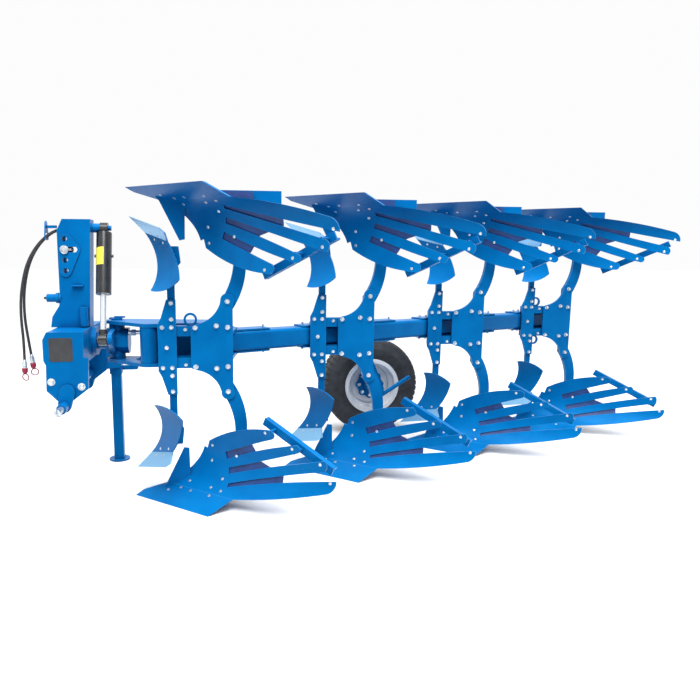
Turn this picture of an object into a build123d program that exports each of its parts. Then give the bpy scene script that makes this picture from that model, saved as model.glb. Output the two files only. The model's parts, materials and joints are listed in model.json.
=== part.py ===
"""Four-furrow mounted reversible moldboard plough, in millimetres.

X runs rearwards, Y to the plough's right and Z up. The origin is the centre of the third
top-link hole, on the middle plane of the headstock. The turnover axis runs along X below it,
and every lower body has an upper twin, mirrored about the height of that axis.
"""

import os
from math import asin, atan2, cos, degrees, pi, radians, sin, sqrt, tan

from build123d import *

os.makedirs("parts", exist_ok=True)

# Driving dimensions of the machine
bodies = 4
body_spacing = 1000.0
furrow_width = 400.0
mast_height = 480.0
axis_above_ground = 876.0
first_body_x = 925.0
first_body_y = -354.0

# Beam and the consoles that carry the bodies
beam_size = 125.0
beam_wall = 10.0
beam_corner = 22.0
beam_clearance = 6.0
beam_front = 140.0
beam_rear = 90.0
console_thick = 20.0
rail_depth = 50.0
rail_height = 57.0
rail_front = 372.0
rail_rear = 24.0

# Body plates, shanks and frogs
skimmer_front = 387.0
plate_thick = 15.0
shank_thick = 30.0
shank_top = 124.0
frog_thick = 30.0
frog_plate_thick = 10.0
landside_thick = 15.0
landside_height = 84.0
landside_front = 150.0
landside_rear = 312.0

# Share and moldboard: a cylinder whose straight lines lie level, at an angle to travel
share_angle = 41.0
share_slope = 27.0
share_rise = 67.0
share_length = 620.0
share_thick = 11.0
mould_radius = 235.0
mould_curl_radius = 900.0
mould_thick = 8.0
mould_height = 465.0
tip_x = -545.0
tip_y = 70.0

# Skimmers
skim_tip_x = -537.0
skim_tip_y = 125.0
skim_above_ground = 152.0
skim_angle = 53.8
skim_edge_rise = 12.4
skim_radius = 296.0
skim_share_rise = 76.0
skim_share_run = 70.0
skim_centre_height = 162.0
skim_height = 360.0
skim_thick = 8.0
skim_shank_width = 42.0

# Headstock
box_front = -65.0
box_rear = 125.0
box_half = 285.0
box_top = 88.0
box_bottom = -100.0
box_wall = 12.0
side_thick = 20.0
tower_half = 55.0
tower_wall = 20.0
tower_top = 235.0
link_hole_radius = 16.0
link_pin_radius = 15.9
hole_pitch = 61.0
lower_pin_radius = 18.3
lower_pin_shoulder = 412.0
lower_pin_length = 76.0
lower_pin_x = 18.0
lower_pin_drop = 325.0
cross_shaft_x = 34.0
cross_shaft_drop = 247.0
cross_shaft_radius = 32.0

# Turnover axle, housing, crank and cylinder
axle_radius = 50.0
shaft_gap = 0.05
housing_front = 208.0
housing_rear = 340.0
housing_flats = 150.0
axle_end = 322.0
cyl_x = 217.0
cyl_top_z = 187.0
crank_y = -190.0
crank_z = 30.0
crank_front = 244.0
crank_thick = 24.0
barrel_radius = 44.0
barrel_bore = 35.0
barrel_start = 30.0
barrel_end = 398.0
rod_radius = 18.0
eye_radius = 35.0
eye_width = 44.0
eye_pin_radius = 15.0
pin_play = 0.4

# Front frame between the turnover housing and the beam
yoke_plate_thick = 20.0
yoke_top = 125.0
yoke_pin_radius = 20.0
yoke_x = 268.0
yoke_y = 0.0
sleeve_x = 475.0
sleeve_y = -205.0
pivot_from_body = 65.0

# Parking stand
stand_x = 192.0
stand_y = 402.0
stand_tube = 66.0
stand_wall = 5.0
stand_top = 100.0
foot_radius = 68.0
foot_thick = 10.0
stand_gap = 0.3
holder_wall = 6.0
holder_top = -20.0
holder_bottom = -275.0

# Support wheel
wheel_radius = 376.0
wheel_width = 258.0
wheel_x = 2069.0
wheel_y = 965.0
rim_radius = 194.0
wheel_pivot_x = 1857.0
arm_y = 696.0
arm_thick = 35.0
pivot_radius = 35.0
pivot_tube_radius = 52.0
spindle_radius = 25.0
hub_radius = 100.0

# Hoses
hose_radius = 8.0
coupler_radius = 14.0
coupler_length = 46.0

axis_z = -mast_height
ground_z = axis_z - axis_above_ground
beam_angle = degrees(asin(furrow_width / body_spacing))
beam_slope = tan(radians(beam_angle))
step_x = body_spacing * cos(radians(beam_angle))
half_beam = beam_size / 2
beam_across = half_beam / cos(radians(beam_angle))
beam_behind_plates = plate_thick + beam_clearance + beam_across + skimmer_front * beam_slope
rail_top = half_beam + rail_height
mid_plane = Plane.XY.offset(axis_z)


def station(n):
    """Place of body n: the upper rear bolt of its plate, on the plate's near face."""
    return Vector(first_body_x + n * step_x, first_body_y + n * furrow_width, axis_z)


def upright(n, y=0.0):
    """Upright plane along travel at body n, y behind the plate's near face."""
    return Plane(station(n) + Vector(0, y, 0), x_dir=(1, 0, 0), z_dir=(0, -1, 0))


def save(part, name):
    """Label one finished piece and write it."""
    part.part.label = name
    export_step(part.part, f"parts/{name}.step")


along = Vector(cos(radians(share_angle)), -sin(radians(share_angle)), 0)
behind = Vector(sin(radians(share_angle)), cos(radians(share_angle)), 0)
share_run = share_rise / tan(radians(share_slope))
curve_centre = (
    share_run - mould_radius * sin(radians(share_slope)),
    share_rise + mould_radius * cos(radians(share_slope)),
)
curl_angle = degrees(asin((mould_height - curve_centre[1]) / mould_curl_radius))


skim_behind = Vector(sin(radians(skim_angle)), cos(radians(skim_angle)), 0)
skim_along = Vector(cos(radians(skim_angle)) * cos(radians(skim_edge_rise)),
                    -sin(radians(skim_angle)) * cos(radians(skim_edge_rise)), sin(radians(skim_edge_rise)))


def section_plane(tip):
    """Plane square to the share's edge: x behind the edge, y up, normal along the edge."""
    return Plane(tip, x_dir=behind, z_dir=along)


def front_plane(tip):
    """Plane that looks at the blade from the front: x along the edge, y up."""
    return Plane(tip, x_dir=along, z_dir=behind * -1)


def share_tip(n):
    """Point of the lower share of body n, on the ground."""
    return station(n) + Vector(tip_x, tip_y, -axis_above_ground)


def skim_tip(n):
    """Point of the lower skimmer's share at body n."""
    return station(n) + Vector(skim_tip_x, skim_tip_y, skim_above_ground - axis_above_ground)


def mould_curve(offset):
    """Two arcs of the moldboard's section, set back by an offset."""
    low = CenterArc(curve_centre, mould_radius + offset, share_slope - 90, 90 - share_slope)
    curl_centre = (curve_centre[0] + mould_radius - mould_curl_radius, curve_centre[1])
    high = CenterArc(curl_centre, mould_curl_radius + offset, 0, curl_angle)
    return low, high


def mould_shell(tip, length, near, far):
    """Curved sheet between two offsets behind the moldboard's face, as long as asked."""
    with BuildSketch(section_plane(tip)) as section:
        with BuildLine():
            low_near, high_near = mould_curve(near)
            low_far, high_far = mould_curve(far)
            Line(low_near @ 0, low_far @ 0)
            Line(high_near @ 1, high_far @ 1)
        make_face()
    extrude(section.sketch, amount=length)


# Slats of a moldboard in the view square to the share, as (along, height): columns are the
# lower corner at the root, a point of the lower edge, the tip's lower corner, its nose and its
# upper corner, a point of the upper edge and the upper corner at the root
slats = [
    ((465, 276), (640, 346), (803, 408), (818, 437), (797, 459), (600, 430), (347, 324)),
    ((503, 194), (708, 263), (970, 360), (980, 383), (958, 401), (690, 321), (481, 238)),
    ((536, 121), (840, 208), (1125, 287), (1143, 318), (1130, 345), (820, 257), (514, 163)),
    ((620, share_rise), (880, 108), (1158, 180), (1192, 210), (1198, 250), (866, 180), (538, 103)),
]


def add_sheet_outline(tip):
    """Outline of sheet and slats as a prism through the moldboard's depth."""
    roots = [corner for row in slats for corner in (row[6], row[0])]
    with BuildSketch(front_plane(tip)) as outline:
        with BuildLine():
            ThreePointArc((133, share_rise), (232, 151), (308, 283))
            Polyline((308, 283), (331, 274), *roots, (133, share_rise))
        make_face()
        for low, belly, tip_low, nose, tip_high, crown, high in slats:
            with BuildLine():
                ThreePointArc(low, belly, tip_low)
                ThreePointArc(tip_low, nose, tip_high)
                ThreePointArc(tip_high, crown, high)
                Line(high, low)
            make_face()
    extrude(outline.sketch, amount=-600, mode=Mode.INTERSECT)


def share_shell(tip):
    """Flat share, ground level at its edge, with its outline seen from the front."""
    set_back = share_thick / sin(radians(share_slope))
    with BuildSketch(section_plane(tip)) as section:
        with BuildLine():
            Polyline((0, 0), (share_run, share_rise), (share_run + set_back, share_rise), (set_back, 0), close=True)
        make_face()
    extrude(section.sketch, amount=share_length + 40)
    with BuildSketch(front_plane(tip)) as outline:
        with BuildLine():
            Polyline((0, 0), (558, 0), (share_length, share_rise), (133, share_rise), (18, 24), close=True)
        make_face()
    extrude(outline.sketch, amount=-400, mode=Mode.INTERSECT)


def twin():
    """Add the upper twin, mirrored about the height of the turnover axis."""
    mirror(about=mid_plane)


def body_plate(n):
    """Plate that holds both shanks of a body, cut away in arcs towards its tips."""
    with BuildPart() as plate:
        with BuildSketch(upright(n)):
            with BuildLine():
                Line((-205, 0), (-205, -118))
                Line((-205, -118), (-175, -130))
                ThreePointArc((-175, -130), (-93, -168), (-38, -258))
                ThreePointArc((-38, -258), (4, -302), (38, -262))
                Line((38, -262), (30, -225))
                Line((30, -225), (30, 0))
                Line((30, 0), (-205, 0))
            make_face()
            mirror(about=Plane.XZ)
        extrude(amount=-plate_thick)
    save(plate, f"body_plate_{n + 1}")


def shanks(n):
    """Curved shanks that run back from the plate and end upright above the frogs."""
    with BuildPart() as shank:
        with BuildSketch(upright(n, plate_thick)):
            with BuildLine():
                Line((-40, -shank_top), (-40, -255))
                ThreePointArc((-40, -255), (18, -370), (38, -487))
                Line((38, -487), (38, -600))
                Line((38, -600), (107, -600))
                Line((107, -600), (107, -470))
                ThreePointArc((107, -470), (80, -312), (25, -205))
                Line((25, -205), (25, -shank_top))
                Line((25, -shank_top), (-40, -shank_top))
            make_face()
        extrude(amount=-shank_thick)
        twin()
    save(shank, f"shanks_{n + 1}")


def soil_side(tip, offset):
    """Everything in front of the moldboard's back, offset further behind it."""
    with BuildSketch(section_plane(tip)) as space:
        with BuildLine():
            low, high = mould_curve(offset)
            foot = low @ 0
            head = high @ 1
            Line(head, (head.X, 900))
            Line((head.X, 900), (-900, 900))
            Line((-900, 900), (-900, -200))
            Line((-900, -200), (foot.X, -200))
            Line((foot.X, -200), foot)
        make_face()
        with BuildLine():
            back = share_run + share_thick / sin(radians(share_slope)) + 0.3
            Polyline((-200, -200), (back, -200), (back, share_rise + 0.3), (-200, share_rise + 0.3), close=True)
        make_face()
    extrude(space.sketch, amount=1500, both=True, mode=Mode.SUBTRACT)


def backing_sheet(tip):
    """Sheet behind the slots of a moldboard."""
    with BuildPart() as backing:
        mould_shell(tip, 900, mould_thick, mould_thick + frog_plate_thick)
        with BuildSketch(front_plane(tip)):
            with BuildLine():
                Polyline((300, 78), (330, 250), (430, 330), (650, 350), (710, 262), (868, 214), (872, 178),
                         (600, 100), (560, 78), close=True)
            make_face()
        extrude(amount=-600, mode=Mode.INTERSECT)
    return backing.part


def frogs(n):
    """Frog: a backing sheet behind the slots, a rib in line with the shank and a foot."""
    tip = share_tip(n)
    sheet = backing_sheet(tip)
    with BuildPart() as frog:
        with BuildSketch(upright(n, plate_thick)):
            with BuildLine():
                Polyline((-260, -860), (-260, -700), (-90, -640), (0, -600.3), (107, -600.3), (150, -720),
                         (150, -860), close=True)
            make_face()
        extrude(amount=-frog_thick)
        with BuildSketch(upright(n, plate_thick + frog_thick)):
            with Locations((10, -830)):
                Rectangle(240, 60)
        extrude(amount=-(tip_y - plate_thick - frog_thick))
        soil_side(tip, mould_thick)
        add(sheet)
        twin()
    save(frog, f"frogs_{n + 1}")


def moldboards(n):
    """Slatted moldboard of the lower body and its upper twin."""
    tip = share_tip(n)
    with BuildPart() as board:
        mould_shell(tip, 1300, 0, mould_thick)
        add_sheet_outline(tip)
        twin()
    save(board, f"moldboards_{n + 1}")
    return board.part


def shares(n, board):
    """Shares with the upright fin that stands on each of them."""
    tip = share_tip(n)
    with BuildPart() as share:
        share_shell(tip)
        with BuildSketch(upright(n, tip_y - 20)):
            with BuildLine():
                Polyline((-385, -833), (-330, -813.5), (-300, -804), (-226, -764.5), (-226, -716), (-228, -598),
                         (-258, -592), (-362, -804), close=True)
            make_face()
        extrude(amount=-10)
        add(board, mode=Mode.SUBTRACT)
        twin()
    save(share, f"shares_{n + 1}")


def landsides():
    """Long flat landsides behind the frogs, all on one frame."""
    with BuildPart() as landside:
        for n in range(bodies):
            with BuildSketch(upright(n, tip_y)):
                with BuildLine():
                    Polyline((-landside_front, -870), (landside_rear, -870),
                             (landside_rear, -870 + landside_height), (-landside_front, -870 + landside_height),
                             close=True)
                make_face()
            extrude(amount=-landside_thick)
        twin()
    save(landside, "landsides")


# Bars behind the slat tips: the ends of the bar as (along, height), and the stays that stand
# off the slats, as (along, height) at each slat's bolt
bar_ends = [(682, 472), (1130, 263)]
bar_behind = 340.0
bar_width = 44.0
bar_thick = 10.0
bar_leg = 36.0
stay_radius = 8.0
stays = [(762, 436), (935, 352), (1090, 280)]


def body_bars(tip):
    """Angle bar of one lower body, with its stays cut to the slats' backs."""
    (a0, h0), (a1, h1) = bar_ends
    start = tip + along * a0 + behind * bar_behind + Vector(0, 0, h0)
    end = tip + along * a1 + behind * bar_behind + Vector(0, 0, h1)
    with BuildPart() as bar:
        with BuildSketch(Plane(start, x_dir=behind, z_dir=end - start)):
            with Locations((bar_thick / 2, 0)):
                Rectangle(bar_thick, bar_width)
            with Locations((bar_leg / 2, bar_width / 2 - bar_thick / 2)):
                Rectangle(bar_leg, bar_thick)
        extrude(amount=(end - start).length)
        for a, h in stays:
            foot = tip + along * a + behind * (bar_behind + 1) + Vector(0, 0, h)
            with BuildSketch(Plane(foot, x_dir=along, z_dir=behind * -1)):
                Circle(stay_radius)
            extrude(amount=bar_behind - 200)
        soil_side(tip, mould_thick + 0.2)
    return bar.part


def tie_bars():
    """Angle bars that tie the slats' tips, with round stays to the slats."""
    found = [body_bars(share_tip(n)) for n in range(bodies)]
    with BuildPart() as bars:
        add(found)
        twin()
    save(bars, "tie_bars")


def skimmer_plates():
    """Narrow plates that hold the skimmer shanks, tapered towards both tips."""
    with BuildPart() as plates:
        for n in range(bodies):
            with BuildSketch(upright(n)):
                with BuildLine():
                    Polyline((2 - skimmer_front, 0), (-skimmer_front, -130), (-368, -165), (-336, -268), (-284, -268), (-284, 0),
                             close=True)
                make_face()
                mirror(about=Plane.XZ)
            extrude(amount=-plate_thick)
    save(plates, "skimmer_plates")


def skimmer_shanks():
    """Straight skimmer shanks with the bracket that each blade is bolted to."""
    with BuildPart() as shank:
        for n in range(bodies):
            with BuildSketch(upright(n, plate_thick)):
                with BuildLine():
                    Polyline((-330, -shank_top), (-330 + skim_shank_width, -shank_top),
                             (-330 + skim_shank_width, -430), (-252, -470), (-262, -560), (-330, -560), close=True)
                make_face()
            extrude(amount=-20)
            with BuildSketch(upright(n, -110)):
                with Locations((-302, -488)):
                    Rectangle(44, 76)
            extrude(amount=-(110 + plate_thick))
            skim_soil_side(skim_tip(n))
        twin()
    save(shank, "skimmer_shanks")


skim_sag = asin((skim_centre_height - skim_share_rise) / skim_radius)
skim_centre = (skim_share_run - skim_radius * cos(skim_sag), skim_centre_height)
skim_low = -degrees(skim_sag)
skim_high = degrees(asin((skim_height - skim_centre_height) / skim_radius))


def skim_section(tip):
    """Plane square to a skimmer's rising edge: x behind the edge, y up."""
    return Plane(tip, x_dir=skim_behind, z_dir=skim_along)


def skim_front(tip):
    """Plane that looks at a skimmer from the front: x along its rising edge, y up."""
    return Plane(tip, x_dir=skim_along, z_dir=skim_behind * -1)


def skim_soil_side(tip):
    """Everything in front of a skimmer blade's back."""
    with BuildSketch(skim_section(tip)) as space:
        with BuildLine():
            arc = CenterArc(skim_centre, skim_radius + skim_thick, skim_low, skim_high - skim_low)
            foot = arc @ 0
            head = arc @ 1
            Line(head, (head.X - 60, 440))
            Line((head.X - 60, 440), (-300, 440))
            Line((-300, 440), (-300, foot.Y))
            Line((-300, foot.Y), foot)
        make_face()
    extrude(space.sketch, amount=450, mode=Mode.SUBTRACT)


def skimmer_blade(tip):
    """One curved skimmer blade, seen from the front between its curved edges."""
    with BuildPart() as blade:
        with BuildSketch(skim_section(tip)):
            with BuildLine():
                near = CenterArc(skim_centre, skim_radius, skim_low, skim_high - skim_low)
                far = CenterArc(skim_centre, skim_radius + skim_thick, skim_low, skim_high - skim_low)
                Line(near @ 0, far @ 0)
                Line(near @ 1, far @ 1)
            make_face()
        extrude(amount=500)
        with BuildSketch(skim_front(tip)):
            with BuildLine():
                ThreePointArc((67, skim_share_rise), (208, 213), (272, 354))
                ThreePointArc((272, 354), (378, 323), (445, 253))
                ThreePointArc((445, 253), (377, 160), (296, skim_share_rise))
                Line((296, skim_share_rise), (67, skim_share_rise))
            make_face()
        extrude(amount=-500, both=True, mode=Mode.INTERSECT)
    return blade.part


def skimmer_share(tip):
    """One flat skimmer share."""
    top = skim_share_rise - 0.3
    with BuildPart() as blade:
        with BuildSketch(skim_section(tip)):
            with BuildLine():
                Polyline((0, 0), (skim_share_run, skim_share_rise),
                         (skim_share_run + skim_thick + 2, skim_share_rise), (skim_thick + 2, 0), close=True)
            make_face()
        extrude(amount=400)
        with BuildSketch(skim_front(tip)):
            with BuildLine():
                Polyline((0, 0), (304, 5), (339, 23), (296, top), (67, top), close=True)
            make_face()
        extrude(amount=-500, both=True, mode=Mode.INTERSECT)
    return blade.part


def skimmer_blades():
    """Small curved moldboards of the skimmers."""
    found = [skimmer_blade(skim_tip(n)) for n in range(bodies)]
    with BuildPart() as blades:
        add(found)
        twin()
    save(blades, "skimmer_blades")


def skimmer_shares():
    """Flat shares of the skimmers."""
    found = [skimmer_share(skim_tip(n)) for n in range(bodies)]
    with BuildPart() as blades:
        add(found)
        twin()
    save(blades, "skimmer_shares")


beam_dir = Vector(cos(radians(beam_angle)), sin(radians(beam_angle)), 0)
beam_base = station(0) + Vector(0, beam_behind_plates, 0)
beam_length = beam_front + (bodies - 1) * body_spacing + beam_rear
pivot_point = beam_base - beam_dir * pivot_from_body
pivot = (pivot_point.X, pivot_point.Y)


def beam():
    """Main square tube with rounded corners, closed ends and the pivot bosses in front."""
    with BuildPart() as tube:
        start = beam_base - beam_dir * beam_front
        with BuildSketch(Plane(start, x_dir=(0, 0, 1), z_dir=beam_dir)):
            RectangleRounded(beam_size, beam_size, beam_corner)
        extrude(amount=beam_length)
        inner = beam_size - 2 * beam_wall
        with BuildSketch(Plane(start + beam_dir * beam_wall, x_dir=(0, 0, 1), z_dir=beam_dir)):
            RectangleRounded(inner, inner, beam_corner - beam_wall)
        extrude(amount=beam_length - 2 * beam_wall, mode=Mode.SUBTRACT)
        with BuildSketch(Plane.XY.offset(axis_z - yoke_top + yoke_plate_thick)):
            with Locations(pivot):
                Circle(46)
        extrude(amount=2 * (yoke_top - yoke_plate_thick))
    save(tube, "beam")


def body_consoles():
    """Pairs of consoles on the beam, each a flat on the tube and a rail behind the plates."""
    with BuildPart() as consoles:
        for n in range(bodies):
            place = station(n)
            with BuildSketch(Plane(place + Vector(0, 0, half_beam))):
                with BuildLine():
                    Polyline((-rail_front, plate_thick), (rail_rear, plate_thick), (rail_rear + 40, 290),
                             (-90, 250), (-rail_front, plate_thick + rail_depth), close=True)
                make_face()
            extrude(amount=console_thick)
            with BuildSketch(Plane(place + Vector(0, 0, half_beam))):
                with Locations(((rail_rear - rail_front) / 2, plate_thick + rail_depth / 2)):
                    Rectangle(rail_front + rail_rear, rail_depth)
            extrude(amount=rail_height)
        with BuildSketch(Plane.XY.offset(axis_z)):
            with Locations(pivot):
                Circle(46.3)
        extrude(amount=yoke_top, mode=Mode.SUBTRACT)
        twin()
    save(consoles, "body_consoles")


# Lifting rings: columns are the body, the place before its rear bolt and the side, up or down
rings = [(0, -207, 1), (3, -255, 1), (3, -255, -1)]
ring_outer = 38.0
ring_inner = 25.0
ring_thick = 16.0


def lifting_rings():
    """Flat lifting rings that stand on the console rails."""
    with BuildPart() as ring:
        for n, x, side in rings:
            with BuildSketch(upright(n, plate_thick + 24)):
                with Locations((x, side * (rail_top + ring_outer - 4))):
                    Circle(ring_outer)
                with Locations((x, side * (rail_top + 6))):
                    Rectangle(44, 12)
                with Locations((x, side * (rail_top + ring_outer - 4))):
                    Circle(ring_inner, mode=Mode.SUBTRACT)
                with Locations((x, side * (rail_top - 10))):
                    Rectangle(90, 20, mode=Mode.SUBTRACT)
            extrude(amount=-ring_thick)
    save(ring, "lifting_rings")


def front_frame():
    """Two plates and a web that join the turnover housing to the beam's front."""
    corners = [(yoke_x, yoke_y, 62), (sleeve_x, sleeve_y, 56), (*pivot, 80)]
    with BuildPart() as frame:
        for level in (axis_z + yoke_top - yoke_plate_thick, axis_z - yoke_top):
            with BuildSketch(Plane.XY.offset(level)):
                for x, y, radius in corners:
                    with Locations((x, y)):
                        Circle(radius)
                make_hull()
                with Locations((yoke_x, yoke_y)):
                    Circle(yoke_pin_radius, mode=Mode.SUBTRACT)
            extrude(amount=yoke_plate_thick)
        with BuildSketch(Plane((0, -85, axis_z), x_dir=(1, 0, 0), z_dir=(0, -1, 0))):
            with Locations((573, 0)):
                Rectangle(376, 2 * (yoke_top - yoke_plate_thick))
            with Locations((385, 0)):
                RectangleRounded(70, 2 * (yoke_top - yoke_plate_thick) - 8, 34, mode=Mode.SUBTRACT)
        extrude(amount=-18)
        with BuildSketch(Plane.XY.offset(axis_z - yoke_top + yoke_plate_thick)):
            with Locations((sleeve_x, sleeve_y)):
                Circle(50)
        extrude(amount=2 * (yoke_top - yoke_plate_thick))
    save(frame, "front_frame")


def turnover_housing():
    """Eight-sided housing that turns on the axle, with its crank and two upright bosses."""
    boss = yoke_top - yoke_plate_thick
    with BuildPart() as housing:
        with BuildSketch(Plane((housing_front, 0, axis_z), x_dir=(0, 1, 0), z_dir=(1, 0, 0))):
            RegularPolygon(housing_flats / 2, 8, major_radius=False, rotation=22.5)
        extrude(amount=housing_rear - housing_front)
        with BuildSketch(Plane.XY.offset(axis_z - boss)):
            with Locations((yoke_x, yoke_y)):
                Circle(46)
        extrude(amount=2 * boss)
        with BuildSketch(Plane((crank_front, 0, axis_z), x_dir=(0, 1, 0), z_dir=(1, 0, 0))):
            Circle(housing_flats / 2 + 10)
            with Locations((crank_y, crank_z)):
                Circle(eye_radius)
            make_hull()
        extrude(amount=crank_thick)
        with BuildSketch(Plane((housing_front, 0, axis_z), x_dir=(0, 1, 0), z_dir=(1, 0, 0))):
            Circle(axle_radius + shaft_gap)
        extrude(amount=axle_end - housing_front + 3, mode=Mode.SUBTRACT)
        for side in (1, -1):
            with BuildSketch(Plane.XY.offset(axis_z + side * (boss - 30))):
                with Locations((yoke_x, yoke_y)):
                    Circle(yoke_pin_radius)
            extrude(amount=side * 30, mode=Mode.SUBTRACT)
    save(housing, "turnover_housing")


def yoke_pins():
    """Upright stub pins of the yoke, each with a round head, the upper one with a grip."""
    with BuildPart() as pins:
        for side in (1, -1):
            with BuildSketch(Plane.XY.offset(axis_z + side * (yoke_top - yoke_plate_thick - 30))):
                with Locations((yoke_x, yoke_y)):
                    Circle(yoke_pin_radius)
            extrude(amount=side * (yoke_plate_thick + 30))
            with BuildSketch(Plane.XY.offset(axis_z + side * yoke_top)):
                with Locations((yoke_x, yoke_y)):
                    Circle(yoke_pin_radius + 14)
            extrude(amount=side * 12)
        with BuildSketch(Plane.XY.offset(axis_z + yoke_top + 12)):
            with Locations((yoke_x + 18, yoke_y)):
                Rectangle(64, 18)
        extrude(amount=10)
    save(pins, "yoke_pins")


def turnbuckle():
    """Spindle that sets the first furrow's width, between the housing and the web."""
    level = axis_z + 52
    y = -104.0
    with BuildPart() as screw:
        with BuildSketch(Plane((housing_rear, y + 62, level), x_dir=(0, 1, 0), z_dir=(1, 0, 0))):
            Circle(13)
        extrude(amount=90)
        with BuildSketch(Plane((housing_rear + 18, y + 62, level), x_dir=(0, 1, 0), z_dir=(1, 0, 0))):
            RegularPolygon(21, 6)
        extrude(amount=26)
        with BuildSketch(Plane((housing_rear + 76, y + 62, level), x_dir=(0, 1, 0), z_dir=(1, 0, 0))):
            RegularPolygon(21, 6)
        extrude(amount=14)
    save(screw, "turnbuckle")


mast_side = [(-100, axis_z + box_top), (-90, axis_z + 150), (-48, axis_z + 215), (-42, axis_z + 260), (-41, 170),
             (-10, tower_top), (148, tower_top), (122, axis_z + box_top)]
mast_inner = tower_half - tower_wall
hole_plate = 10.0


def mast_wall(side, name):
    """One wall of the mast, with the raised plate round its top-link holes."""
    slot_run = 55.0
    with BuildPart() as wall:
        with BuildSketch(Plane((0, side * mast_inner, 0), x_dir=(1, 0, 0), z_dir=(0, -1, 0))):
            with BuildLine():
                Polyline(*mast_side, close=True)
            make_face()
        extrude(amount=-side * tower_wall)
        with BuildSketch(Plane((0, side * tower_half, 0), x_dir=(1, 0, 0), z_dir=(0, -1, 0))):
            for x, z, radius in ((0, -hole_pitch, 34), (4, 2 * hole_pitch, 32), (slot_run, hole_pitch, 32)):
                with Locations((x, z)):
                    Circle(radius)
            make_hull()
        extrude(amount=-side * hole_plate)
        with BuildSketch(Plane((0, side * mast_inner, 0), x_dir=(1, 0, 0), z_dir=(0, -1, 0))):
            with Locations((0, -hole_pitch), (0, 0), (0, 2 * hole_pitch)):
                Circle(link_hole_radius)
            with Locations((slot_run / 2, hole_pitch)):
                SlotCenterToCenter(slot_run, 2 * link_hole_radius)
        extrude(amount=-side * (tower_wall + hole_plate), mode=Mode.SUBTRACT)
        if side < 0:
            with BuildSketch(Plane((-115, -tower_half + tower_wall / 2, -220), x_dir=(0, 1, 0), z_dir=(1, 0, 0))):
                Circle(24)
            extrude(amount=80)
            with BuildSketch(Plane((-63, -tower_half + tower_wall / 2, -220), x_dir=(0, 1, 0), z_dir=(1, 0, 0))):
                Circle(31)
            extrude(amount=14)
            with BuildSketch(Plane.XY.offset(axis_z + box_top + 8)):
                with Locations((93, -tower_half - 14)):
                    Circle(23)
                with Locations((93, -tower_half - 5)):
                    Rectangle(40, 14)
            extrude(amount=112)
    save(wall, name)


def mast_back():
    """Rear wall and cap between the mast's walls, with the cylinder's upper pin behind."""
    with BuildPart() as back:
        with BuildSketch(Plane((0, mast_inner, 0), x_dir=(1, 0, 0), z_dir=(0, -1, 0))):
            with BuildLine():
                Polyline((122, axis_z + box_top), (148, tower_top), (-8, tower_top), (-16, tower_top - 20),
                         (126, tower_top - 20), (100, axis_z + box_top), close=True)
            make_face()
        extrude(amount=2 * mast_inner)
        with BuildSketch(Plane((120, 0, cyl_top_z), x_dir=(0, 1, 0), z_dir=(1, 0, 0))):
            Circle(eye_radius - 8)
        extrude(amount=cyl_x - eye_width / 2 - 0.3 - 120)
        with BuildSketch(Plane((120, 0, cyl_top_z), x_dir=(0, 1, 0), z_dir=(1, 0, 0))):
            Circle(eye_pin_radius)
        extrude(amount=cyl_x + eye_width / 2 + 18 - 120)
    save(back, "mast_back")


def top_link_pin():
    """Pin that lies in the slotted top-link hole, with a washer head on each end."""
    y = tower_half + 10
    with BuildPart() as pin:
        with BuildSketch(Plane((0, y + 12, hole_pitch), x_dir=(1, 0, 0), z_dir=(0, -1, 0))):
            Circle(link_pin_radius)
        extrude(amount=2 * (y + 12))
        for side in (1, -1):
            with BuildSketch(Plane((0, side * y, hole_pitch), x_dir=(1, 0, 0), z_dir=(0, -side, 0))):
                Circle(24)
            extrude(amount=-10)
    save(pin, "top_link_pin")


def cross_box():
    """Closed cross box under the mast, with the turnover axle and its flange behind."""
    with BuildPart() as box:
        with BuildSketch(Plane.XY.offset(axis_z + box_bottom)):
            with Locations(((box_front + box_rear) / 2, 0)):
                Rectangle(box_rear - box_front, 2 * box_half)
        extrude(amount=box_top - box_bottom)
        with BuildSketch(Plane.XY.offset(axis_z + box_bottom + box_wall)):
            with Locations(((box_front + box_rear) / 2, 0)):
                Rectangle(box_rear - box_front - 2 * box_wall, 2 * (box_half - box_wall))
        extrude(amount=box_top - box_bottom - 2 * box_wall, mode=Mode.SUBTRACT)
        with BuildSketch(Plane((box_rear - box_wall, 0, axis_z), x_dir=(0, 1, 0), z_dir=(1, 0, 0))):
            Circle(85)
        extrude(amount=box_wall + 30)
        with BuildSketch(Plane((box_rear - box_wall, 0, axis_z), x_dir=(0, 1, 0), z_dir=(1, 0, 0))):
            Circle(axle_radius)
        extrude(amount=axle_end - box_rear + box_wall)
    save(box, "cross_box")


def side_plate(side, name):
    """Side plate of the headstock, reaching down to the lower-link shaft."""
    with BuildPart() as plate:
        with BuildSketch(Plane((0, side * box_half, axis_z), x_dir=(1, 0, 0), z_dir=(0, -1, 0))):
            with BuildLine():
                Polyline((-66, box_top), (-88, 46), (-88, -71), (-76, -96), (-80, -240), (-20, -302),
                         (58, -302), (146, -234), (153, -58), (126, -58), (132, box_top), close=True)
            make_face()
            with Locations((cross_shaft_x, -cross_shaft_drop)):
                Circle(cross_shaft_radius, mode=Mode.SUBTRACT)
        extrude(amount=-side * side_thick)
    save(plate, name)


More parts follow.
